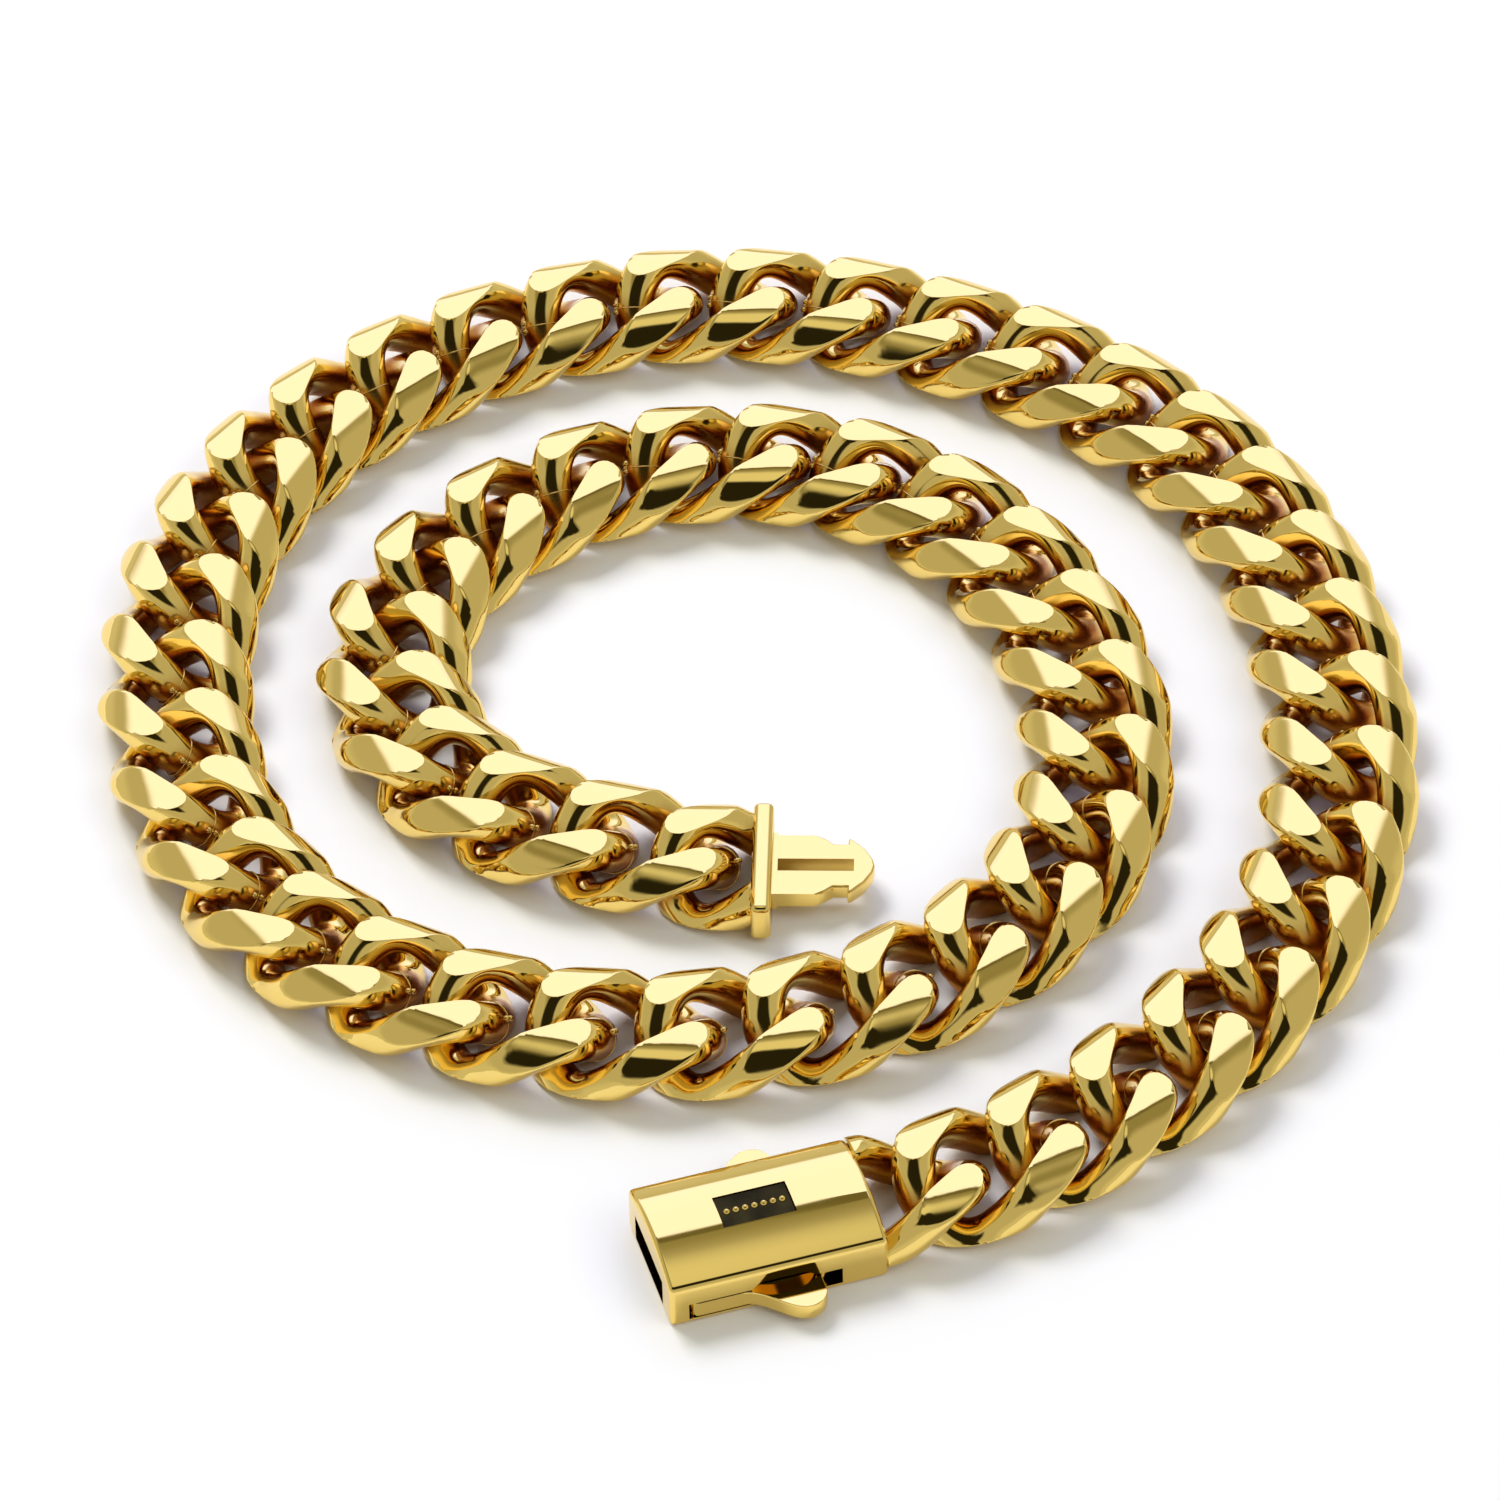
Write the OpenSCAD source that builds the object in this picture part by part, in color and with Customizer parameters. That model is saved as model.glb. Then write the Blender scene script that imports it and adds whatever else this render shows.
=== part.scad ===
// Flat curb chain necklace with a box clasp, lying open on a table.
// Lengths are in millimetres. The table is the plane z = 0 and the origin is
// at the middle of the necklace's outline on the table.

/* [Chain] */
// Diameter of the wire that a link is bent from
wire_d = 3.5; // [3.2:0.05:3.6]
// Width of the chain over the round sides of its links
chain_w = 13.3; // [12.9:0.1:13.6]
// Height of the chain over the flats filed above and below
chain_h = 5.3; // [5:0.1:5.4]
// Height of the middle of the links above the table
mid_h = 2.15; // [2.05:0.05:2.3]
// Width of the level part of the filed flats, across the chain
flat_w = 7.6; // [7:0.1:8.4]
// How far the flats fall from there to the sides of the chain
flat_fall = 2; // [1.6:0.1:2.2]
// Room between two hooked links when the chain is pulled straight
hook_play = 0.4; // [0.35:0.05:0.5]
// How much further the wire rises and sinks than its own radius
cross_play = 0.65; // [0.6:0.05:0.9]

// Width of the half links soldered to the two clasp ends
end_w = 11.5; // [11:0.1:12]
// Diameter of their wire
end_wire_d = 3.3; // [3:0.05:3.6]
// Depth of the flat filed on each side of a half link
side_file = 0.8; // [0.4:0.1:1]

/* [Tongue end] */
// Width of the flange that closes the mouth of the box
flange_w = 12.6; // [11.8:0.1:13]
// Height of the flange
flange_h = 3.6; // [3.2:0.1:4.2]
// Thickness of the flange
flange_t = 1.7; // [1.4:0.1:2]
// Radius of the flange's corners
flange_r = 0.5; // [0.2:0.1:1]
// Width of the tongue
tongue_w = 6.8; // [6:0.1:7]
// Thickness of the tongue
tongue_t = 1.4; // [1.1:0.1:1.6]
// Length of the tongue from the flange to its point
tongue_l = 8.3; // [8:0.1:9.5]
// Distance from the flange to the square shoulders of the barbs
barb_x = 6.1; // [6:0.1:6.8]
// Width of the tongue at the neck before the barbs
neck_w = 5; // [4.4:0.1:5.4]
// Width of the tongue over its barbs
barb_w = 6.4; // [6.1:0.1:6.8]
// Width of the slot that lets the halves of the tongue spring
slit_w = 1.4; // [1:0.1:1.8]
// Length of the slot from the flange
slit_l = 6.6; // [6:0.1:7]
// Thickness of the collar at the root of the tongue
collar_t = 0.4; // [0.3:0.1:0.8]
// How far the collar stands proud of the tongue
collar_rim = 0.15; // [0.1:0.05:0.3]

/* [Clasp box] */
// Length of the box from its mouth to the chain
box_l = 17.7; // [17.2:0.1:19]
// Width of the box
box_w = 11.6; // [11.3:0.1:12.4]
// Height of the upright side walls
wall_h = 3.5; // [3.4:0.1:4]
// Height of the box over the crown of its arched top
box_h = 5.3; // [5.2:0.1:5.8]
// Radius of the shoulder between side wall and arch
shoulder_r = 0.7; // [0.4:0.1:1]
// Thickness of the bottom plate
bottom_t = 0.5; // [0.4:0.05:0.6]
// Width of the mouth that takes the tongue
mouth_w = 7.4; // [7.2:0.1:7.8]
// Height of the mouth
mouth_h = 2.5; // [2.4:0.1:2.6]
// Thickness of the wall round the mouth
front_t = 1.5; // [1.2:0.1:1.8]
// Thickness of the wall at the chain end
back_t = 1.5; // [1.2:0.1:2]
// Width of the posts that the barbs catch behind
post_w = 0.7; // [0.5:0.1:0.9]
// Depth of the posts along the box
post_l = 0.8; // [0.6:0.1:0.9]

/* [Levers] */
// Height of the slot in a side wall
slot_h = 1.6; // [1.5:0.05:1.8]
// Length of the slot
slot_l = 12.4; // [12.2:0.1:13]
// Depth of the lever's bar, from the wall's face inwards
bar_w = 1.5; // [1.4:0.1:1.6]
// Length of the lever from its pin to the end of its tail
lever_l = 10.4; // [10.2:0.1:10.6]
// How far the thumb piece stands out of the side wall
paddle_out = 2.95; // [2.6:0.05:3.3]
// Distance from the pin to the middle of the thumb piece's tip
paddle_x = 8.1; // [7.8:0.1:8.4]
// Length of the curve between the bar and the tip
sweep_l = 4.7; // [4:0.1:4.8]
// Radius of the tip
tip_r = 1.7; // [1.3:0.05:1.8]
// Height of the nib that pushes a barb inwards
nib_h = 0.5; // [0.3:0.1:0.5]
// Diameter of the pin that a lever turns on
pin_d = 0.7; // [0.6:0.05:0.8]
// Clearance round the pin
pin_gap = 0.05; // [0.03:0.01:0.08]
// Clearance above and below a lever
lever_gap = 0.12; // [0.1:0.01:0.15]
// Length of the thumb scoop above the slot
scoop_l = 5.2; // [4:0.1:6]
// Height of the thumb scoop
scoop_h = 0.95; // [0.6:0.05:1.1]
// Depth of the thumb scoop into the wall
scoop_t = 0.55; // [0.3:0.05:0.8]

/* [Enamel panel] */
// Length of the panel
panel_l = 5.8; // [4:0.1:7]
// Width of the panel
panel_w = 3.2; // [2.4:0.1:4]
// Distance of the panel's middle from the mouth of the box
panel_x = 8.6; // [7:0.1:11]
// Depth of its seat below the crown of the arch
seat_h = 0.5; // [0.4:0.05:0.6]
// How far the panel's face lies below the crown
panel_low = 0.2; // [0.15:0.05:0.25]
// Gap all round the panel and beneath it
panel_gap = 0.05; // [0.03:0.01:0.1]

/* [Hidden] */
gold = [0.91, 0.77, 0.4];
enamel = [0.16, 0.14, 0.1];
$fn = 64;

// Chosen points that the middle of the chain is drawn towards, from the tongue to the box
ROUTE = [[21, -21.25], [0.875, -17], [-27.5, -9.5], [-32.75, 17.25], [-10.75, 35.5], [14.75, 32],
    [29.5, 9], [29, -18.25], [7.75, -36], [-20, -35.75], [-42, -21], [-49.5, 5.25],
    [-45.5, 30.75], [-27.75, 49.25], [-2.75, 56.5], [21.75, 49.25], [42, 32], [49.5, 6.75],
    [48.25, -20], [33, -42], [10.75, -56], [-15.5, -54.5]];

// How far each clasp end is turned on its last link, and how far its plate is from the half link
tongue_bend = 11;
tongue_gap = 0.4;
box_bend = 1.6;
box_gap = 2;

// The route is a smooth curve with three links to each of its spans
span_links = 3;
last_place = span_links * (len(ROUTE) - 3);
function weights(u) = [pow(1 - u, 3), 3 * pow(u, 3) - 6 * u * u + 4,
    3 * u + 3 * u * u - 3 * pow(u, 3) + 1, pow(u, 3)] / 6;
function slopes(u) = [-pow(1 - u, 2), 3 * u * u - 4 * u, 1 + 2 * u - 3 * u * u, u * u] / 2;
function span_of(place) = min(floor(place / span_links), len(ROUTE) - 4);
function along(place, rule) = let (s = span_of(place), u = place / span_links - s,
    w = rule == "slope" ? slopes(u) : weights(u))
    w[0] * ROUTE[s] + w[1] * ROUTE[s + 1] + w[2] * ROUTE[s + 2] + w[3] * ROUTE[s + 3];
function link_at(place) = along(place, "place");
function heading(place) = let (v = along(place, "slope")) atan2(v[1], v[0]);

// A link is an oval of wire that rises and sinks twice on its way round
steps = [for (i = [0 : last_place - 1]) norm(link_at(i + 1) - link_at(i))];
link_a = (max(steps) + wire_d + hook_play) / 2;
rise = wire_d / 2 + cross_play;
second_wave = 0.05;
link_sides = 16;
wire_sides = 6;
function unit(v) = v / norm(v);
function clamp(v, low, high) = max(low, min(high, v));

// The flats above and below a link are level in the middle and fall to the sides, where
// at least this much of the wire stays below the middle of the link
side_left = 0.6;
function fall(y) = flat_fall * pow(max(0, (2 * abs(y) - flat_w) / (chain_w - flat_w)), 2);
function filed(p, half) = [p[0], clamp(p[1], -half, half),
    clamp(p[2], -max(side_left, mid_h - fall(p[1])), chain_h - mid_h - fall(p[1]))];
function wire_mid(t, b) = [link_a * cos(t), b * sin(t),
    -rise * (sin(2 * t) - second_wave * sin(4 * t))];
function wire_way(t, b) = unit([-link_a * sin(t), b * cos(t),
    -2 * rise * (cos(2 * t) - 2 * second_wave * cos(4 * t))]);
function ring(t, width, r, file) = let (b = width / 2 + file - r, c = wire_mid(t, b),
    way = wire_way(t, b), out = unit(cross(way, [0, 0, 1])), up = cross(out, way))
    [for (i = [0 : wire_sides - 1]) let (f = 360 * i / wire_sides,
        p = c + r * (cos(f) * out + sin(f) * up)) filed(p, width / 2)];
function tube_faces(rings, closed) = [for (j = [0 : rings - (closed ? 1 : 2)], i = [0 : wire_sides - 1])
    let (n = (j + 1) % rings, k = (i + 1) % wire_sides, a = j * wire_sides, b = n * wire_sides)
    each [[a + i, b + k, b + i], [a + i, a + k, b + k]]];
function end_caps(rings) = [[for (i = [wire_sides - 1 : -1 : 0]) i],
    [for (i = [0 : wire_sides - 1]) (rings - 1) * wire_sides + i]];

// The outline of the necklace on the table, which the origin is the middle of
link_ring = [for (j = [0 : link_sides - 1]) each ring(360 * (j + 0.5) / link_sides, chain_w, wire_d / 2, 0)];
function turned(p, angle) = [p[0] * cos(angle) - p[1] * sin(angle), p[0] * sin(angle) + p[1] * cos(angle)];
outline = [for (i = [1 : last_place - 1], p = link_ring) link_at(i) + turned(p, heading(i))];
box_turn = heading(last_place) + 180 + box_bend;
box_corners = [for (x = [0, box_l], y = [-1, 1] * box_w / 2)
    link_at(last_place) + turned([x - box_l - box_gap, y], box_turn)];
reach = concat(outline, box_corners);
middle = [for (i = [0 : 1]) (min([for (p = reach) p[i]]) + max([for (p = reach) p[i]])) / 2];

module on_route(place, turn) {
    translate([link_at(place)[0] - middle[0], link_at(place)[1] - middle[1], 0])
        rotate([0, 0, turn]) children();
}

module link() {
    polyhedron(link_ring, tube_faces(link_sides, true), 4);
}

// Half of a link that grows from a plate at a distance behind the link's middle
root_depth = 0.5;
module half_link(from, plate) {
    half_rings = link_sides / 2 + 1;
    side = from < 0 ? 1 : -1;
    arms = [for (j = [0 : half_rings - 1]) [for (p = ring(from + 180 * j / (half_rings - 1), end_w,
        end_wire_d / 2, side_file))
        [side * max(side * p[0], -plate - root_depth / 2), p[1], p[2]]]];
    ends = [for (j = [0, half_rings - 1]) [for (p = arms[j]) [-side * (plate + root_depth), p[1], p[2]]]];
    rings = concat([ends[0]], arms, [ends[1]]);
    polyhedron([for (r = rings) each r], concat(tube_faces(len(rings), false), end_caps(len(rings))), 4);
}

// A profile drawn across a piece, pushed along the piece's length
module across(length) {
    rotate([90, 0, 90]) linear_extrude(length) children();
}

// The half of the tongue's outline on one side of its slot
neck_x = barb_x - 1.15;
taper_x = barb_x - 2.4;
barb_l = tongue_l - barb_x;
function tongue_side(side) = [[0, side * tongue_w / 2], [taper_x, side * tongue_w / 2],
    [(taper_x + neck_x) / 2, side * (0.6 * tongue_w + 0.4 * neck_w) / 2],
    [neck_x, side * neck_w / 2], [barb_x, side * neck_w / 2], [barb_x, side * barb_w / 2],
    [barb_x + 0.17 * barb_l, side * 0.94 * barb_w / 2],
    [barb_x + 0.62 * barb_l, side * 0.62 * barb_w / 2],
    [barb_x + 0.92 * barb_l, side * 0.25 * barb_w / 2]];
function backwards(list) = [for (i = [len(list) - 1 : -1 : 0]) list[i]];

module tongue() {
    translate([0, 0, mid_h - tongue_t / 2])
        linear_extrude(tongue_t)
            difference() {
                polygon(concat(tongue_side(1), [[tongue_l, 0]], backwards(tongue_side(-1))));
                translate([0, -slit_w / 2]) square([slit_l, slit_w]);
            }
}

module flange() {
    side_y = flange_w / 2 - flange_r;
    side_z = flange_h / 2 - flange_r;
    across(flange_t) translate([0, mid_h]) {
        square([flange_w, 2 * side_z], center = true);
        square([2 * side_y, flange_h], center = true);
        for (y = [-1, 1], z = [-1, 1]) translate([y * side_y, z * side_z]) circle(flange_r);
    }
}

module tongue_end() {
    color(gold) on_route(0, heading(0) + 180 + tongue_bend) translate([tongue_gap, 0, 0]) {
        flange();
        collar_w = tongue_w + 2 * collar_rim;
        collar_h = tongue_t + 2 * collar_rim;
        translate([flange_t - collar_t, -collar_w / 2, mid_h - collar_h / 2])
            cube([2 * collar_t, collar_w, collar_h]);
        translate([flange_t, 0, 0]) tongue();
        translate([-tongue_gap, 0, mid_h]) rotate([0, 0, 180]) half_link(-90, tongue_gap);
    }
}

// The box is an arched bar with a cavity, a mouth, two slots and a seat for the panel
half_w = box_w / 2;
arch_rise = box_h - wall_h;
arch_in = half_w - shoulder_r;
arch_r = (pow(arch_in, 2) + pow(arch_rise, 2) - pow(shoulder_r, 2)) / (2 * (arch_rise - shoulder_r));
arch_low = box_h - arch_r;
touch = unit([arch_in, wall_h - arch_low]);
cavity_top = bottom_t + mouth_h;
run_gap = 0.1;
cavity_w = box_w - 2 * bar_w - 2 * run_gap;
cut = 0.1;

module box_profile() {
    intersection() {
        translate([0, arch_low]) circle(arch_r, $fn = 180);
        union() {
            translate([-half_w, 0]) square([box_w, wall_h]);
            translate([-arch_in, 0]) square([2 * arch_in, box_h]);
            for (side = [-1, 1]) {
                translate([side * arch_in, wall_h]) circle(shoulder_r);
                polygon([[side * arch_in, wall_h], [side * arch_in, box_h],
                    [side * (arch_in + shoulder_r * touch[0]), wall_h + shoulder_r * touch[1]]]);
            }
        }
    }
}

// The slot in each side wall, and the pin at its mouth end that the lever turns on
slot_x = front_t;
slot_top = bottom_t + slot_h;
bar_h = slot_h - 2 * lever_gap;
pin_x = slot_x + bar_w / 2 + 1.5 * run_gap;
pin_y = half_w - bar_w / 2;
post_x = barb_x - post_l - 1.5 * run_gap;
post_y = neck_w / 2 + 0.25;

module side_cuts() {
    translate([slot_x, cavity_w / 2 - cut, bottom_t]) cube([slot_l, bar_w + run_gap + 2 * cut, slot_h]);
    scoop_r = (pow(scoop_l / 2, 2) + pow(scoop_h, 2)) / (2 * scoop_h);
    intersection() {
        translate([pin_x + paddle_x - scoop_l / 4, half_w - scoop_t, slot_top + scoop_h - scoop_r])
            rotate([-90, 0, 0]) cylinder(h = 2 * scoop_t, r = scoop_r);
        translate([slot_x, half_w - 2 * scoop_t, slot_top - cut]) cube([slot_l, 4 * scoop_t, 2 * scoop_h]);
    }
}

module inside_parts() {
    translate([pin_x, pin_y, bottom_t - cut]) cylinder(h = slot_h + 2 * cut, d = pin_d);
    translate([post_x, post_y, bottom_t - cut]) cube([post_l, post_w, mouth_h + 2 * cut]);
}

// Places a piece by the box: its mouth faces away from the chain
module in_box() {
    on_route(last_place, box_turn) translate([-box_gap - box_l, 0, 0]) children();
}

module clasp_box() {
    color(gold) {
        in_box() {
            difference() {
                across(box_l) box_profile();
                translate([front_t, -cavity_w / 2, bottom_t])
                    cube([box_l - front_t - back_t, cavity_w, mouth_h]);
                translate([-cut, -mouth_w / 2, bottom_t]) cube([front_t + 2 * cut, mouth_w, mouth_h]);
                side_cuts();
                mirror([0, 1, 0]) side_cuts();
                translate([panel_x, 0, box_h - seat_h / 2])
                    cube([panel_l + 2 * panel_gap, panel_w + 2 * panel_gap, seat_h + cut], center = true);
            }
            inside_parts();
            mirror([0, 1, 0]) inside_parts();
        }
        on_route(last_place, box_turn + 180) translate([0, 0, mid_h]) half_link(90, box_gap);
    }
}

// A lever lies along its slot with its thumb piece outwards, and turns on the pin
curve_steps = 10;
sweep_x = paddle_x - sweep_l;
nib_x = barb_x + 0.7 - pin_x;
nib_l = 1.2;
tail_h = 0.7 * bar_w;
function lever_end() = [for (i = [0 : curve_steps]) let (t = 270 - 180 * i / curve_steps)
    bar_w / 2 * [cos(t), sin(t)]];
function lever_sweep() = [for (i = [0 : curve_steps]) let (share = i / curve_steps)
    [sweep_x + share * sweep_l, bar_w / 2 + paddle_out * (1 - cos(180 * share)) / 2]];
function lever_tip() = [for (i = [1 : curve_steps]) let (t = 90 - 90 * i / curve_steps)
    [paddle_x + tip_r * cos(t), bar_w / 2 + paddle_out - tip_r + tip_r * sin(t)]];
lever_back = [[paddle_x + tip_r, bar_w / 2], [lever_l, tail_h - bar_w / 2], [lever_l, -bar_w / 2],
    [nib_x + nib_l + nib_h, -bar_w / 2], [nib_x + nib_l, -bar_w / 2 - nib_h],
    [nib_x, -bar_w / 2 - nib_h], [nib_x - nib_h, -bar_w / 2]];

module lever() {
    translate([pin_x, pin_y, bottom_t + lever_gap])
        difference() {
            linear_extrude(bar_h) polygon(concat(lever_end(), lever_sweep(), lever_tip(), lever_back));
            translate([0, 0, -cut]) cylinder(h = bar_h + 2 * cut, r = pin_d / 2 + pin_gap);
        }
}

module lever_far() {
    color(gold) in_box() lever();
}

module lever_near() {
    color(gold) in_box() mirror([0, 1, 0]) lever();
}

module enamel_panel() {
    color(enamel) in_box()
        translate([panel_x - panel_l / 2, -panel_w / 2, box_h - seat_h + panel_gap])
            cube([panel_l, panel_w, seat_h - panel_gap - panel_low]);
}

module chain_links() {
    color(gold)
        for (place = [1 : last_place - 1])
            on_route(place, heading(place)) translate([0, 0, mid_h]) link();
}

chain_links();
tongue_end();
clasp_box();
lever_near();
lever_far();
enamel_panel();
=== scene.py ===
import math

import bmesh
import bpy
from mathutils import Matrix, Vector


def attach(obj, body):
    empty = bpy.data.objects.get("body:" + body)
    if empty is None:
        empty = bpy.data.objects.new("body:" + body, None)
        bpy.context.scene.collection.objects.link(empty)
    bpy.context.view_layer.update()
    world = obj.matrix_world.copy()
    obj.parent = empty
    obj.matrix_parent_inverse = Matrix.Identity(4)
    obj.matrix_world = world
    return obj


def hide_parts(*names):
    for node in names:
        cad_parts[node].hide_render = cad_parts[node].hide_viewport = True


# The solids of the necklace, its clasp's bodies and their outer box, in metres
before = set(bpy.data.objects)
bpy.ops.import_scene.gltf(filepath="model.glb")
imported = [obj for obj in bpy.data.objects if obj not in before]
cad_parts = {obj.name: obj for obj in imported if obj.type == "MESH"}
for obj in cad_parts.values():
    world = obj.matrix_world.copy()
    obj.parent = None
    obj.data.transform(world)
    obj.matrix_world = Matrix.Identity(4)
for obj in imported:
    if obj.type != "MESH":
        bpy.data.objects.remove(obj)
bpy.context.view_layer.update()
scene = bpy.context.scene
mm = 0.001


# Camera
# A long lens looks down on the table from the front, a little turned about its own
# axis. The same view carries every piece, so it is set before anything is made.
look_at = Vector((-0.449994, 1.9096, 0)) * mm
look_down = math.radians(43.5)
lens_roll = math.radians(-1.5)
lens_away = 663.04 * mm
camera_data = bpy.data.cameras.new("camera")
camera_data.sensor_width = 36
camera_data.lens = 192
camera = bpy.data.objects.new("camera", camera_data)
scene.collection.objects.link(camera)
scene.camera = camera
camera.matrix_world = (
    Matrix.Translation(look_at)
    @ Matrix.Rotation(math.pi / 2 - look_down, 4, "X")
    @ Matrix.Rotation(lens_roll, 4, "Z")
    @ Matrix.Translation((0, 0, lens_away))
)


# Table and studio
# A matt white table top in a pale studio. A softbox with an olive rim stands behind it and a
# dark screen hangs above the camera, which is what the polished faces show.
def new_piece(name, work):
    mesh = bpy.data.meshes.new(name)
    work.to_mesh(mesh)
    work.free()
    piece = bpy.data.objects.new(name, mesh)
    scene.collection.objects.link(piece)
    return piece


def new_material(name):
    material = bpy.data.materials.new(name)
    material.use_nodes = True
    return material, material.node_tree.nodes, material.node_tree.links


work = bmesh.new()
bmesh.ops.create_grid(work, x_segments=1, y_segments=1, size=2)
table = new_piece("table_top", work)
table_white, nodes, links = new_material("table_white")
paper = nodes["Principled BSDF"]
paper.inputs["Roughness"].default_value = 0.7
paper.inputs["Specular IOR Level"].default_value = 0.2
where = nodes.new("ShaderNodeTexCoord")
grain = nodes.new("ShaderNodeTexNoise")
grain.inputs["Scale"].default_value = 4
links.new(where.outputs["Object"], grain.inputs["Vector"])
tint = nodes.new("ShaderNodeValToRGB")
tint.color_ramp.elements[0].color = (0.875, 0.872, 0.86, 1)
tint.color_ramp.elements[1].color = (0.895, 0.892, 0.88, 1)
links.new(grain.outputs["Fac"], tint.inputs["Fac"])
links.new(tint.outputs["Color"], paper.inputs["Base Color"])
table.data.materials.append(table_white)

world = bpy.data.worlds.new("studio")
scene.world = world
world.use_nodes = True
nodes, links = world.node_tree.nodes, world.node_tree.links
where = nodes.new("ShaderNodeTexCoord")
parts = nodes.new("ShaderNodeSeparateXYZ")
links.new(where.outputs["Generated"], parts.inputs[0])


def world_math(operation, *inputs):
    """One sum on the direction that is looked in."""
    node = nodes.new("ShaderNodeMath")
    node.operation = operation
    for socket, value in zip(node.inputs, inputs):
        if isinstance(value, (int, float)):
            socket.default_value = value
        else:
            links.new(value, socket)
    return node.outputs[0]


def world_band(angle, low, high, soft):
    """One inside the two angles and nothing outside them, with soft borders, in degrees."""
    rises = nodes.new("ShaderNodeMapRange")
    falls = nodes.new("ShaderNodeMapRange")
    for node, edge, start, end in ((rises, low, 0, 1), (falls, high, 1, 0)):
        node.interpolation_type = "SMOOTHSTEP"
        links.new(angle, node.inputs["Value"])
        node.inputs["From Min"].default_value = math.radians(edge - soft / 2)
        node.inputs["From Max"].default_value = math.radians(edge + soft / 2)
        node.inputs["To Min"].default_value = start
        node.inputs["To Max"].default_value = end
    return world_math("MULTIPLY", rises.outputs[0], falls.outputs[0])


def world_patch(under, share, colour):
    """Lays a colour over what is there, as far as the share says."""
    node = nodes.new("ShaderNodeMix")
    node.data_type = "RGBA"
    links.new(share, node.inputs["Factor"])
    if isinstance(under, tuple):
        node.inputs["A"].default_value = (*under, 1)
    else:
        links.new(under, node.inputs["A"])
    node.inputs["B"].default_value = (*colour, 1)
    return node.outputs["Result"]


height = world_math("ARCSINE", parts.outputs["Z"])
aside = world_math("ABSOLUTE", world_math("ARCTAN2", parts.outputs["X"], parts.outputs["Y"]))
wall_pale = (0.54, 0.54, 0.5)
wall_low = (0.68, 0.68, 0.63)
ceiling_dim = (0.3, 0.29, 0.2)
ceiling_pale = (0.82, 0.82, 0.74)
screen_dark = (0.02, 0.018, 0.01)
rim_olive = (0.16, 0.15, 0.08)
softbox_white = (1.3, 1.42, 2.6)
sky = world_patch(wall_pale, world_band(height, -95, 14, 14), wall_low)
sky = world_patch(sky, world_band(height, 55, 70, 12), ceiling_dim)
sky = world_patch(sky, world_band(height, 76, 100, 10), ceiling_pale)
screen = world_math("MULTIPLY", world_band(aside, 130, 190, 14), world_band(height, 40, 76, 6))
sky = world_patch(sky, screen, screen_dark)
rim = world_math("MULTIPLY", world_band(aside, -10, 30, 16), world_band(height, 57, 62, 2))
sky = world_patch(sky, rim, rim_olive)
softbox = world_math("MULTIPLY", world_band(aside, -10, 26, 20), world_band(height, 16, 57, 2))
sky = world_patch(sky, softbox, softbox_white)
links.new(sky, nodes["Background"].inputs["Color"])
nodes["Background"].inputs["Strength"].default_value = 1.0


def new_lamp(name, size, power, place):
    data = bpy.data.lights.new(name, "AREA")
    data.size = size
    data.energy = power
    lamp = bpy.data.objects.new(name, data)
    scene.collection.objects.link(lamp)
    lamp.location = place
    lamp.rotation_euler = (look_at - lamp.location).to_track_quat("-Z", "Y").to_euler()
    lamp.visible_glossy = False


new_lamp("key_light", 0.5, 9.6, Vector((-0.45, 0.6, 0.9)))
new_lamp("fill_light", 1.2, 6.5, Vector((0.9, -0.6, 1.2)))
scene.view_settings.view_transform = "Standard"


# Gold
# Every metal piece is brass with a thick gold plate, polished to a mirror. Only a faint haze
# and a ripple finer than the eye resolves are left by the polishing wheel.
haze = bpy.data.node_groups.new("polishing_haze", "ShaderNodeTree")
for name in ("Roughness", "Bump Height"):
    haze.interface.new_socket(name, in_out="OUTPUT", socket_type="NodeSocketFloat")
nodes, links = haze.nodes, haze.links
where = nodes.new("ShaderNodeTexCoord")
cloud = nodes.new("ShaderNodeTexNoise")
cloud.inputs["Scale"].default_value = 350
cloud.inputs["Detail"].default_value = 3
spread = nodes.new("ShaderNodeMapRange")
spread.inputs["From Min"].default_value = 0.3
spread.inputs["From Max"].default_value = 0.7
spread.inputs["To Min"].default_value = 0.035
spread.inputs["To Max"].default_value = 0.075
done = nodes.new("NodeGroupOutput")
links.new(where.outputs["Object"], cloud.inputs["Vector"])
links.new(cloud.outputs["Fac"], spread.inputs["Value"])
links.new(spread.outputs["Result"], done.inputs["Roughness"])
links.new(cloud.outputs["Fac"], done.inputs["Bump Height"])
gold_open = (0.92, 0.67, 0.19, 1)
# Painted shade: this darker, redder gold stands in for the shade and gold-tinted bounce light in the
# chain's hollows.
gold_painted_shade = (0.5, 0.18, 0.01, 1)
hollow_haze = 0.26


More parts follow.
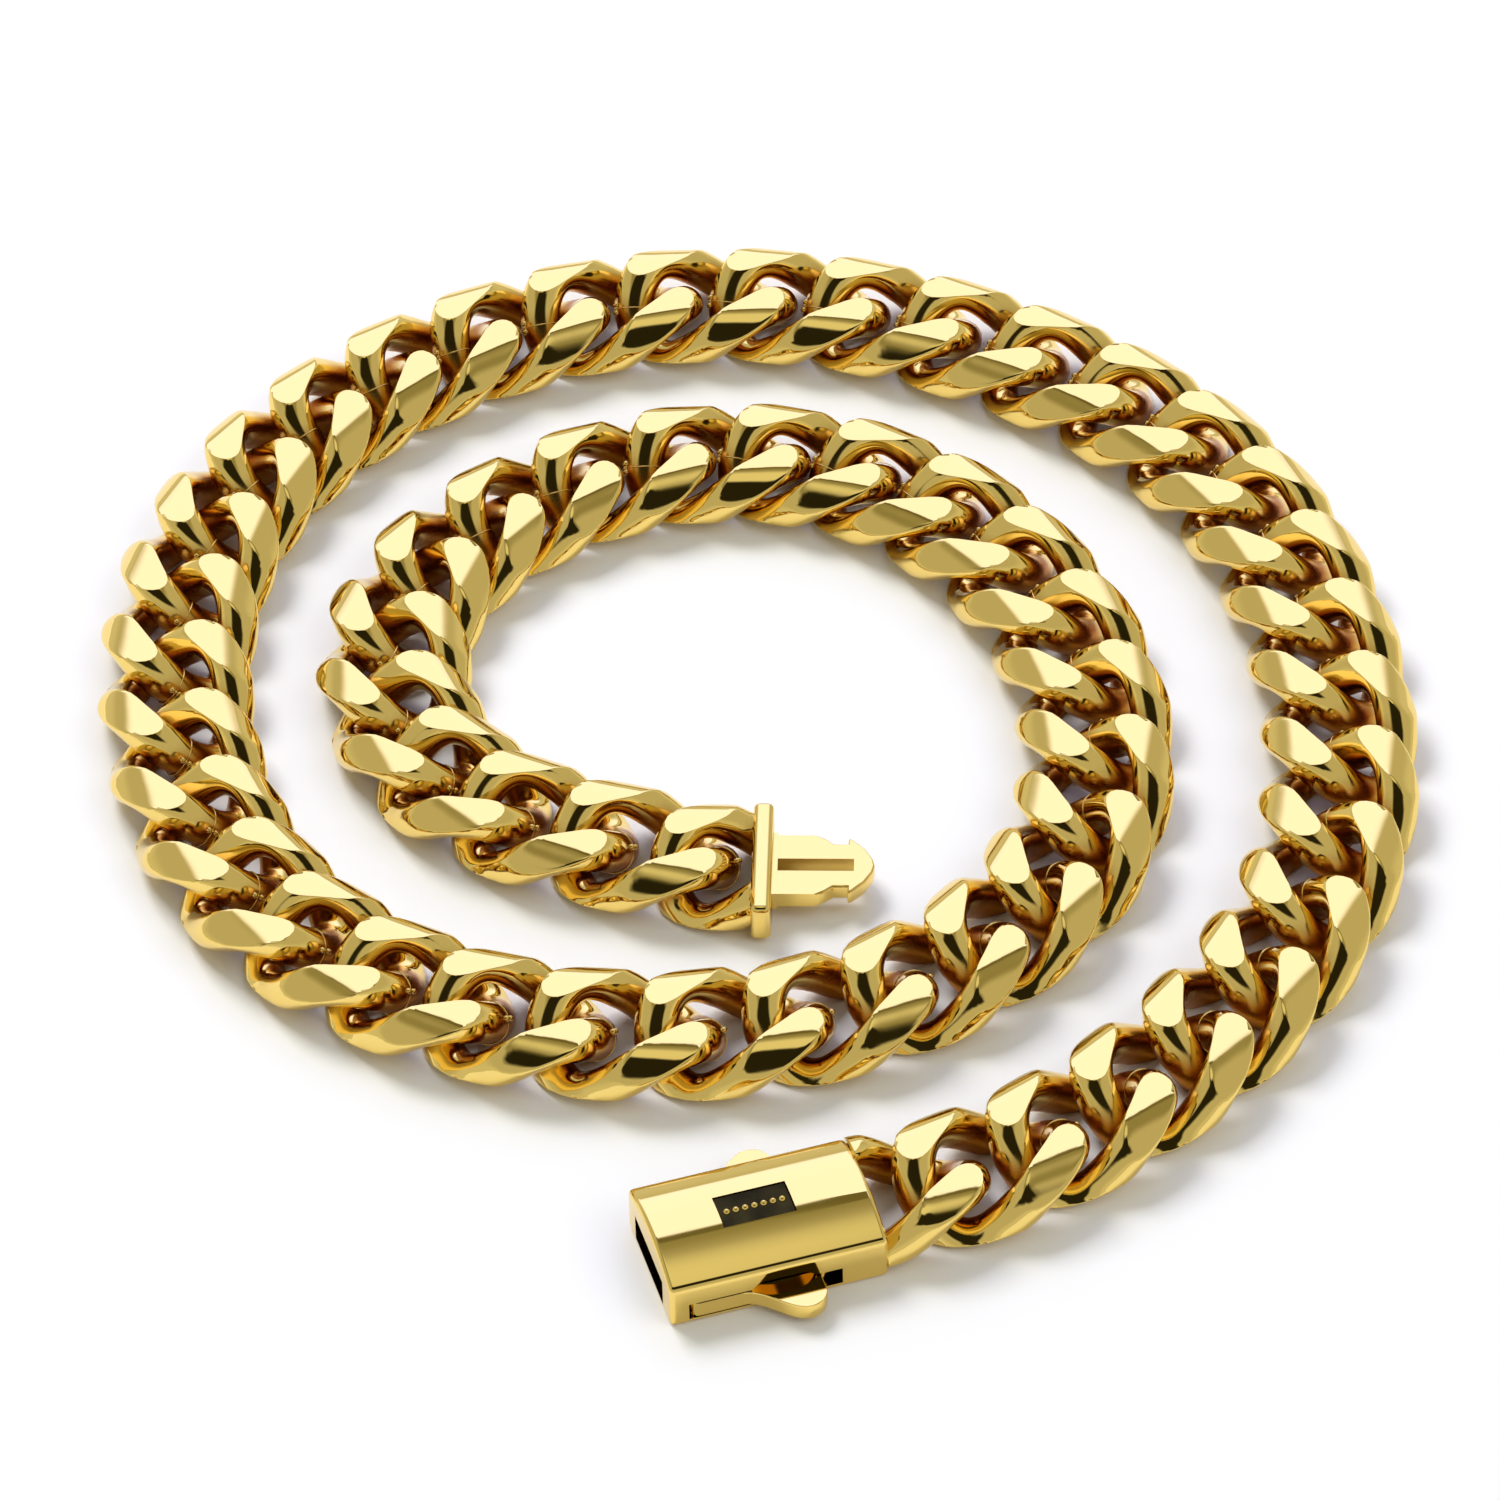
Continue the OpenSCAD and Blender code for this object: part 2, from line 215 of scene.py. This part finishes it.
def gold_material(name, colour, colour_painted_shade):
    """Gold, with painted shade and painted bounce light in the hollows, which makes it darker and
    redder there, and also hazier.
    """
    material, nodes, links = new_material(name)
    metal = nodes["Principled BSDF"]
    metal.inputs["Metallic"].default_value = 1
    polish = nodes.new("ShaderNodeGroup")
    polish.node_tree = haze
    hollow_shade_and_haze = nodes.new("ShaderNodeAttribute")
    hollow_shade_and_haze.attribute_name = "hollow_shade_and_haze"
    tone = nodes.new("ShaderNodeMix")
    tone.data_type = "RGBA"
    tone.inputs["A"].default_value = colour
    tone.inputs["B"].default_value = colour_painted_shade
    bump = nodes.new("ShaderNodeBump")
    bump.inputs["Strength"].default_value = 0.05
    bump.inputs["Distance"].default_value = 0.02 * mm
    links.new(hollow_shade_and_haze.outputs["Fac"], tone.inputs["Factor"])
    links.new(tone.outputs["Result"], metal.inputs["Base Color"])
    haze_deep = nodes.new("ShaderNodeMath")
    haze_deep.operation = "MULTIPLY_ADD"
    haze_deep.inputs[1].default_value = hollow_haze
    links.new(hollow_shade_and_haze.outputs["Fac"], haze_deep.inputs[0])
    links.new(polish.outputs["Roughness"], haze_deep.inputs[2])
    links.new(haze_deep.outputs[0], metal.inputs["Roughness"])
    links.new(polish.outputs["Bump Height"], bump.inputs["Height"])
    links.new(bump.outputs["Normal"], metal.inputs["Normal"])
    return material


gold = gold_material("polished_gold", gold_open, gold_painted_shade)


def finish_metal(piece, *nodes_replaced, material=gold, body="necklace"):
    piece.data.materials.append(material)
    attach(piece, body)
    if nodes_replaced:
        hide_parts(*nodes_replaced)


# Chain links
# Each link is an oval of round wire, twisted so that it rises and sinks twice, hooked in
# its neighbours and soldered shut. The whole chain is then filed above and below, which
# leaves long leaf faces with crisp inner edges and, at the sides, softly worn outer ends.
wire_r = 1.75 * mm
link_a = 6.31356 * mm
link_w = 13.3 * mm
chain_h = 5.3 * mm
middle_h = 2.15 * mm
wire_rise = 2.4 * mm
second_wave = 0.05
flat_half = 3.8 * mm
top_fall = 1.7 * mm
low_fall = 0.9 * mm
flat_crown = 0.18 * mm
worn_reach = [reach * mm for reach in (4, 4.3, 4.6, 4.9, 5.2, 5.5)]
burr_reach = 4.8 * mm
under_reach = 0.4 * mm
burr_round = 0.09 * mm
crisp_angle = math.radians(12)
ring_steps = 96
wire_sides = 26
hollow_top = 2 * mm
hollow_fade = 1.5 * mm
hook_start = 0.86
hook_fade = 0.1
flat_near = 0.015 * mm
merge_near = 0.03 * mm
span_links = 3
route = [
    (21, -21.25), (0.875, -17), (-27.5, -9.5), (-32.75, 17.25), (-10.75, 35.5), (14.75, 32),
    (29.5, 9), (29, -18.25), (7.75, -36), (-20, -35.75), (-42, -21), (-49.5, 5.25),
    (-45.5, 30.75), (-27.75, 49.25), (-2.75, 56.5), (21.75, 49.25), (42, 32), (49.5, 6.75),
    (48.25, -20), (33, -42), (10.75, -56), (-15.5, -54.5),
]
route_middle = Vector((0.449994, -1.9096))
link_count = 56


def on_route(place):
    """The middle of a link, and the direction that the chain has there."""
    span = min(int(place // span_links), len(route) - 4)
    u = place / span_links - span
    weights = ((1 - u) ** 3, 3 * u**3 - 6 * u * u + 4, 3 * u + 3 * u * u - 3 * u**3 + 1, u**3)
    slopes = (-((1 - u) ** 2), 3 * u * u - 4 * u, 1 + 2 * u - 3 * u * u, u * u)
    points = [Vector(p) for p in route[span:span + 4]]
    spot = sum((w / 6 * p for w, p in zip(weights, points)), Vector((0, 0)))
    way = sum((s * p for s, p in zip(slopes, points)), Vector((0, 0)))
    spot = (spot - route_middle) * mm
    return spot, math.atan2(way.y, way.x)


def placed(place, turn):
    """The matrix that puts a piece made at the origin at its place along the route."""
    spot = on_route(place)[0]
    return Matrix.Translation((spot.x, spot.y, 0)) @ Matrix.Rotation(turn, 4, "Z")


def wire_middle(t, oval_b):
    """The middle of the wire at an angle of the oval."""
    wave = math.sin(2 * t) - second_wave * math.sin(4 * t)
    return Vector((link_a * math.cos(t), oval_b * math.sin(t), -wire_rise * wave))


def wire_oval(radius, oval_b):
    """A ring of wire, bent to the link's oval. Its inner side and its hooked ends, low down, are
    marked for painted shade and more haze.
    """
    work = bmesh.new()
    bmesh.ops.create_circle(
        work, segments=wire_sides, radius=radius,
        matrix=Matrix.Translation((link_a, 0, 0)) @ Matrix.Rotation(math.pi / 2, 4, "X"),
    )
    bmesh.ops.spin(
        work, geom=work.verts[:] + work.edges[:], cent=(0, 0, 0), axis=(0, 0, 1),
        angle=math.tau, steps=ring_steps, use_merge=True,
    )
    bmesh.ops.remove_doubles(work, verts=work.verts, dist=0.001 * mm)
    hollow_shade_and_haze = work.verts.layers.float.new("hollow_shade_and_haze")
    for v in work.verts:
        t = math.atan2(v.co.y, v.co.x)
        outwards, upwards = math.hypot(v.co.x, v.co.y) - link_a, v.co.z
        middle = wire_middle(t, oval_b)
        way = wire_middle(t + 0.01, oval_b) - wire_middle(t - 0.01, oval_b)
        out = way.cross(Vector((0, 0, 1))).normalized()
        up = out.cross(way).normalized()
        v.co = middle + outwards * out + upwards * up
        # Mask for painted shade: the inner side and the hooked ends, fading out above a height,
        # where the neighbouring links shade the wire and reflect into it.
        inner = 0.1 - 1.8 * outwards / radius
        hooked = (abs(math.cos(t)) - hook_start) / hook_fade
        below = (hollow_top - v.co.z) / hollow_fade
        v[hollow_shade_and_haze] = min(1, max(0, inner, hooked)) * min(1, max(0, below))
    bmesh.ops.recalc_face_normals(work, faces=work.faces)
    return work


def file_flat(work, point, facing, snap=0.04 * mm):
    """Cuts the wire's surface along a plane and lays what stands past it on the plane."""
    geom = work.verts[:] + work.edges[:] + work.faces[:]
    bmesh.ops.bisect_plane(work, geom=geom, dist=snap, plane_co=point, plane_no=facing)
    for v in work.verts:
        past = (v.co - point).dot(facing)
        if past > -snap:
            v.co -= past * facing


def flat_drop(y, side):
    """How far the filed flats fall at a distance from the middle of the chain."""
    past = max(0, (abs(y) - flat_half) / (link_w / 2 - flat_half))
    fall = top_fall if side > 0 else low_fall
    return fall * past * past + flat_crown * (y / flat_half) ** 2


def file_shouldered(work, side, height):
    """Files the top or the bottom: level in the middle, falling over a shoulder outside."""
    for v in work.verts:
        v.co.z += side * flat_drop(v.co.y, side)
    file_flat(work, Vector((0, 0, side * height)), Vector((0, 0, side)))
    for v in work.verts:
        v.co.z -= side * flat_drop(v.co.y, side)


def file_link(work, edge_round):
    """Files a link above and below, wears its outer ends and takes the burr off its edges."""
    top, low = chain_h - middle_h, middle_h
    file_shouldered(work, 1, top)
    file_shouldered(work, -1, low)
    bmesh.ops.remove_doubles(work, verts=work.verts, dist=merge_near)
    for reach in worn_reach:
        outer = [v for v in work.verts if abs(v.co.y) > reach]
        bmesh.ops.smooth_vert(
            work, verts=outer, factor=0.5, use_axis_x=True, use_axis_y=True, use_axis_z=True,
        )
        under = [v for v in work.verts if v.co.z < -under_reach]
        bmesh.ops.smooth_vert(
            work, verts=under, factor=0.5, use_axis_x=True, use_axis_y=True, use_axis_z=True,
        )

    def on_flat(face):
        return any(
            all(
                abs(side * v.co.z + flat_drop(v.co.y, side) - height) < flat_near
                for v in face.verts
            )
            for side, height in ((1, top), (-1, low))
        )

    for face in work.faces:
        face.smooth = True
        face.select = on_flat(face)
    crisp = [
        edge for edge in work.edges
        if len(edge.link_faces) == 2 and edge.link_faces[0].select != edge.link_faces[1].select
        and edge.calc_face_angle(0) > crisp_angle
        and all(v.co.z > 0 and abs(v.co.y) < burr_reach for v in edge.verts)
    ]
    if edge_round:
        bmesh.ops.bevel(
            work, geom=crisp, offset=edge_round, affect="EDGES", segments=2, profile=0.5,
            clamp_overlap=True, material=-1,
        )
    else:
        for edge in crisp:
            edge.smooth = False


link = wire_oval(wire_r, link_w / 2 - wire_r)
file_link(link, burr_round)
one_link = bpy.data.meshes.new("one_link")
link.to_mesh(one_link)
link.free()

for name, first, last in (("inner_links", 1, 28), ("outer_links", 29, link_count)):
    chain = bmesh.new()
    for place in range(first, last + 1):
        before = len(chain.verts)
        chain.from_mesh(one_link)
        chain.verts.ensure_lookup_table()
        bmesh.ops.transform(
            chain, verts=chain.verts[before:],
            matrix=placed(place, on_route(place)[1]) @ Matrix.Translation((0, 0, middle_h)),
        )
    finish_metal(new_piece(name, chain), "chain_links")


# Solder of the links
# Each link is closed at its dipping end by a thin seam of gold solder round the wire. Two
# small beads with a bridge between them are left on the wire's outer side.
seam_r = 0.07 * mm
bead_r = 0.28 * mm
bead_gap = 0.36 * mm
bead_round = math.radians(150)
wire_slope = math.atan2(2 * wire_rise * (1 - 2 * second_wave), link_w / 2 - wire_r)
seam_matrix = Matrix.Translation((-link_a, 0, middle_h)) @ Matrix.Rotation(wire_slope, 4, "X")
solder = bmesh.new()
bmesh.ops.create_circle(
    solder, segments=4, radius=seam_r, matrix=Matrix.Translation((wire_r, 0, 0)),
)
bmesh.ops.spin(
    solder, geom=solder.verts[:] + solder.edges[:], cent=(0, 0, 0), axis=(0, 1, 0),
    angle=math.tau, steps=24, use_merge=True,
)
bead_spot = wire_r * Vector((math.cos(bead_round), 0, math.sin(bead_round)))
for side in (-1, 1):
    bmesh.ops.create_icosphere(
        solder, subdivisions=2, radius=bead_r,
        matrix=Matrix.Translation(bead_spot + Vector((0, side * bead_gap, 0))),
    )
bmesh.ops.create_cone(
    solder, cap_ends=True, segments=8, radius1=0.6 * bead_r, radius2=0.6 * bead_r,
    depth=2 * bead_gap, matrix=Matrix.Translation(bead_spot) @ Matrix.Rotation(math.pi / 2, 4, "X"),
)
bmesh.ops.remove_doubles(solder, verts=solder.verts, dist=0.001 * mm)
bmesh.ops.recalc_face_normals(solder, faces=solder.faces)
for face in solder.faces:
    face.smooth = True
one_seam = bpy.data.meshes.new("one_seam")
solder.to_mesh(one_seam)
solder.free()
solder = bmesh.new()
for place in range(1, link_count + 1):
    before = len(solder.verts)
    solder.from_mesh(one_seam)
    solder.verts.ensure_lookup_table()
    bmesh.ops.transform(
        solder, verts=solder.verts[before:],
        matrix=placed(place, on_route(place)[1]) @ seam_matrix,
    )
finish_metal(new_piece("link_solder", solder))


# Half links
# A half link of thinner wire, twisted and filed as the links are, is soldered to the back
# of each clasp end and hooks into the chain's first or last link.
end_r = 1.65 * mm
end_half = 6.1 * mm
root_depth = 0.05 * mm
tongue_bend = math.radians(11)
tongue_gap = 0.4 * mm
box_bend = math.radians(1.6)
box_gap = 2 * mm
last_place = link_count + 1


def half_link(facing, plate):
    """The part of a link on one side of a plate, its two arms pushed on into the plate."""
    work = wire_oval(end_r, end_half - end_r)
    file_link(work, 0)
    geom = work.verts[:] + work.edges[:] + work.faces[:]
    back = Vector((-facing, 0, 0))
    bmesh.ops.bisect_plane(
        work, geom=geom, dist=0.01 * mm, plane_co=back * plate, plane_no=back,
        clear_outer=True,
    )
    rims = [edge for edge in work.edges if edge.is_boundary]
    pushed = bmesh.ops.extrude_edge_only(work, edges=rims)
    for v in pushed["geom"]:
        if isinstance(v, bmesh.types.BMVert):
            v.co.x = -facing * (plate + root_depth)
    bmesh.ops.holes_fill(work, edges=[edge for edge in work.edges if edge.is_boundary])
    bmesh.ops.recalc_face_normals(work, faces=work.faces)
    for face in work.faces:
        face.smooth = True
    return work


tongue_matrix = placed(0, on_route(0)[1] + math.pi + tongue_bend)
box_turn = on_route(last_place)[1] + math.pi + box_bend
box_matrix = placed(last_place, box_turn)
for name, facing, plate, matrix in (
    ("tongue_half_link", 1, tongue_gap, tongue_matrix @ Matrix.Rotation(math.pi, 4, "Z")),
    ("box_half_link", -1, box_gap, box_matrix @ Matrix.Rotation(math.pi, 4, "Z")),
):
    work = half_link(facing, plate)
    bmesh.ops.transform(work, verts=work.verts, matrix=matrix @ Matrix.Translation((0, 0, middle_h)))
    finish_metal(new_piece(name, work))


# Tongue end
# A cast flange with rounded edges closes the mouth of the box. The tongue, milled from flat
# stock with a slot between its two springing halves, is soldered into it.
def metal_copy(node, matrix, keep_over):
    """The node's own shape without its half link, in the piece's own place."""
    work = bmesh.new()
    work.from_mesh(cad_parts[node].data)
    bmesh.ops.remove_doubles(work, verts=work.verts, dist=0.002 * mm)
    bmesh.ops.transform(work, verts=work.verts, matrix=matrix.inverted())
    if keep_over is not None:
        point, facing = keep_over
        geom = work.verts[:] + work.edges[:] + work.faces[:]
        bmesh.ops.bisect_plane(
            work, geom=geom, dist=0.001 * mm, plane_co=point, plane_no=facing, clear_outer=True,
        )
        bmesh.ops.holes_fill(work, edges=[edge for edge in work.edges if edge.is_boundary])
    bmesh.ops.dissolve_limit(
        work, angle_limit=math.radians(0.4), verts=work.verts, edges=work.edges,
    )
    work.normal_update()
    return work


def round_edges(work, radius, chosen, segments=3):
    """Rounds the standing edges whose ends are both in the chosen places."""
    edges = [
        edge for edge in work.edges
        if edge.is_convex and edge.calc_face_angle(0) > math.radians(35)
        and all(chosen(*v.co) for v in edge.verts)
    ]
    bmesh.ops.bevel(
        work, geom=edges, offset=radius, affect="EDGES", segments=segments, profile=0.5,
        clamp_overlap=False, material=-1,
    )


def finish_copy(name, work, matrix, *nodes_replaced, material=gold, body="necklace"):
    for edge in work.edges:
        edge.smooth = edge.calc_face_angle(0) < math.radians(35)
    for face in work.faces:
        face.smooth = True
    bmesh.ops.transform(work, verts=work.verts, matrix=matrix)
    piece = new_piece(name, work)
    even = piece.modifiers.new("even_faces", "WEIGHTED_NORMAL")
    even.keep_sharp = True
    finish_metal(piece, *nodes_replaced, material=material, body=body)
    return piece


near = 0.05 * mm
flange_t = 1.7 * mm
flange_round = 0.5 * mm
tongue_round = 0.2 * mm
collar_side = 3.8 * mm
collar_top = 1.4 * mm
collar_end = 2.2 * mm
slit_side = 0.8 * mm
slit_end = 9 * mm
plate_matrix = tongue_matrix @ Matrix.Translation((tongue_gap, 0, 0))
work = metal_copy("tongue_end", plate_matrix, (Vector((0.01 * mm, 0, 0)), Vector((-1, 0, 0))))
round_edges(
    work, flange_round,
    lambda x, y, z: x < flange_t + near
    and (abs(y) > collar_side or abs(z - middle_h) > collar_top),
)
round_edges(
    work, tongue_round, lambda x, y, z: x > collar_end and (abs(y) > slit_side or x > slit_end),
)
finish_copy("tongue_and_flange", work, plate_matrix, "tongue_end")


# Clasp box
# The box is folded and soldered from thick sheet: an arched top on two upright sides, a
# mouth for the tongue, a slot in each side for its lever and a thumb scoop over it.
box_l = 17.7 * mm
box_half = 5.8 * mm
mouth_side = 4.5 * mm
mouth_top = 3.3 * mm
case_round = 0.45 * mm
foot_round = 0.3 * mm
case_matrix = box_matrix @ Matrix.Translation((-box_gap - box_l, 0, 0))
work = metal_copy("clasp_box", case_matrix, (Vector((box_l - 0.01 * mm, 0, 0)), Vector((1, 0, 0))))
round_edges(
    work, case_round,
    lambda x, y, z: x > box_l - 2 * near or x < near and (abs(y) > mouth_side or z > mouth_top),
)
round_edges(work, foot_round, lambda x, y, z: abs(y) > box_half - 2 * near and z < near)
finish_copy("box_case", work, case_matrix, "clasp_box")


# Levers
# A flat lever lies in the slot of each side and turns on a pin at the mouth's end. Its
# rounded thumb piece stands out, and its nib presses a barb of the tongue inwards.
lever_round = 0.12 * mm
pin_end = 3.2 * mm
for node in ("lever_near", "lever_far"):
    work = metal_copy(node, case_matrix, None)
    round_edges(work, lever_round, lambda x, y, z: x > pin_end, segments=2)
    finish_copy(node + "_arm", work, case_matrix, node, body=node)


# Enamel panel
# A seat in the crown of the box is filled with dark olive enamel, ground flat and polished.
# A row of small gold beads is set along the middle of it.
enamel, nodes, links = new_material("dark_enamel_gloss")
glass = nodes["Principled BSDF"]
glass.inputs["Roughness"].default_value = 0.45
glass.inputs["Specular IOR Level"].default_value = 0.04
where = nodes.new("ShaderNodeTexCoord")
cloud = nodes.new("ShaderNodeTexNoise")
cloud.inputs["Scale"].default_value = 420
cloud.inputs["Detail"].default_value = 4
tint = nodes.new("ShaderNodeValToRGB")
tint.color_ramp.elements[0].position = 0.35
tint.color_ramp.elements[0].color = (0.014, 0.011, 0.003, 1)
tint.color_ramp.elements[1].position = 0.7
tint.color_ramp.elements[1].color = (0.04, 0.031, 0.009, 1)
links.new(where.outputs["Object"], cloud.inputs["Vector"])
links.new(cloud.outputs["Fac"], tint.inputs["Fac"])
links.new(tint.outputs["Color"], glass.inputs["Base Color"])
panel_round = 0.06 * mm
work = metal_copy("enamel_panel", case_matrix, None)
round_edges(work, panel_round, lambda x, y, z: True, segments=2)
panel = finish_copy("enamel_face", work, case_matrix, "enamel_panel", material=enamel)

panel_x = 8.6 * mm
panel_top = 5.1 * mm
row_beads = 7
row_pitch = 0.75 * mm
row_r = 0.3 * mm
row_sunk = 0.08 * mm
work = bmesh.new()
for i in range(row_beads):
    along = panel_x + (i - (row_beads - 1) / 2) * row_pitch
    bmesh.ops.create_uvsphere(
        work, u_segments=24, v_segments=16, radius=row_r,
        matrix=Matrix.Translation((along, 0, panel_top - row_sunk)),
    )
for face in work.faces:
    face.smooth = True
bmesh.ops.transform(work, verts=work.verts, matrix=case_matrix)
finish_metal(new_piece("panel_beads", work))
